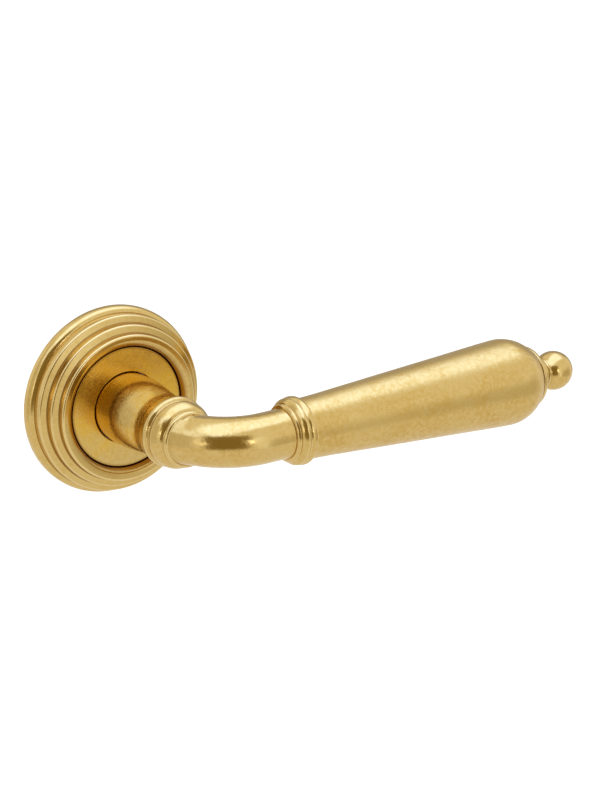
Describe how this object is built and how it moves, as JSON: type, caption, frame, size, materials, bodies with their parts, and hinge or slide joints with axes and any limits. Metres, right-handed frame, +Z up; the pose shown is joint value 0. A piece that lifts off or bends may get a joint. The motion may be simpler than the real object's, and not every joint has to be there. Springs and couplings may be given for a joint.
{
  "type": "door lever handle",
  "caption": "Brass door lever on a round stepped rose: waisted neck, reeded collar, curved arm, ferrule, long tapered grip and ball end, with spring cassette and square spindle.",
  "frame": {"origin": "where the spindle's axis meets the door face, at the centre of the rose's back", "axes": "+Y into the door along the spindle, -Y out into the room, +X along the lever towards its ball end, +Z up"},
  "size_m": [0.1458, 0.0857, 0.052],
  "materials": {
    "satin_brass": "satin, lightly aged, with soft reflections",
    "burnished_brass": "burnished, darker and cloudier",
    "zinc_diecast": "as-cast zinc alloy, fine grain",
    "zinc_plated_steel": "bright zinc plate",
    "spring_steel": "oiled spring steel",
    "black_steel": "black oxide",
    "nylon": "natural nylon, matte"
  },
  "bodies": {
    "rose": {"rose_cover": "satin_brass", "face_disc": "burnished_brass", "base_plate": "zinc_diecast", "cover_snap_ring": "spring_steel", "spring_housing": "zinc_diecast", "housing_lid": "zinc_plated_steel", "return_spring": "spring_steel", "neck_bush": "nylon", "bolt_post_upper": "zinc_plated_steel", "bolt_post_lower": "zinc_plated_steel", "post_screw_upper": "black_steel", "post_screw_lower": "black_steel", "housing_screw_right": "black_steel", "housing_screw_left": "black_steel", "stop_pin_rest": "spring_steel", "stop_pin_down": "spring_steel"},
    "lever": {"lever_arm": "satin_brass", "cam_ring": "zinc_plated_steel", "circlip": "spring_steel", "wave_washer": "spring_steel", "thrust_washer": "nylon", "spindle": "zinc_plated_steel", "grub_screw": "black_steel", "grip_ferrule": "satin_brass", "grip": "satin_brass", "end_collar": "satin_brass", "ball_finial": "satin_brass", "tie_rod": "zinc_plated_steel"}
  },
  "joints": [
    {"name": "lever_turn", "type": "hinge", "parent": "rose", "child": "lever", "pos_m": [0, 0, 0], "axis": [0, 1, 0], "range_deg": [0, 45], "stiffness_Nm_per_rad": 1, "springref_deg": -45.84, "deforming": ["return_spring"]}
  ]
}
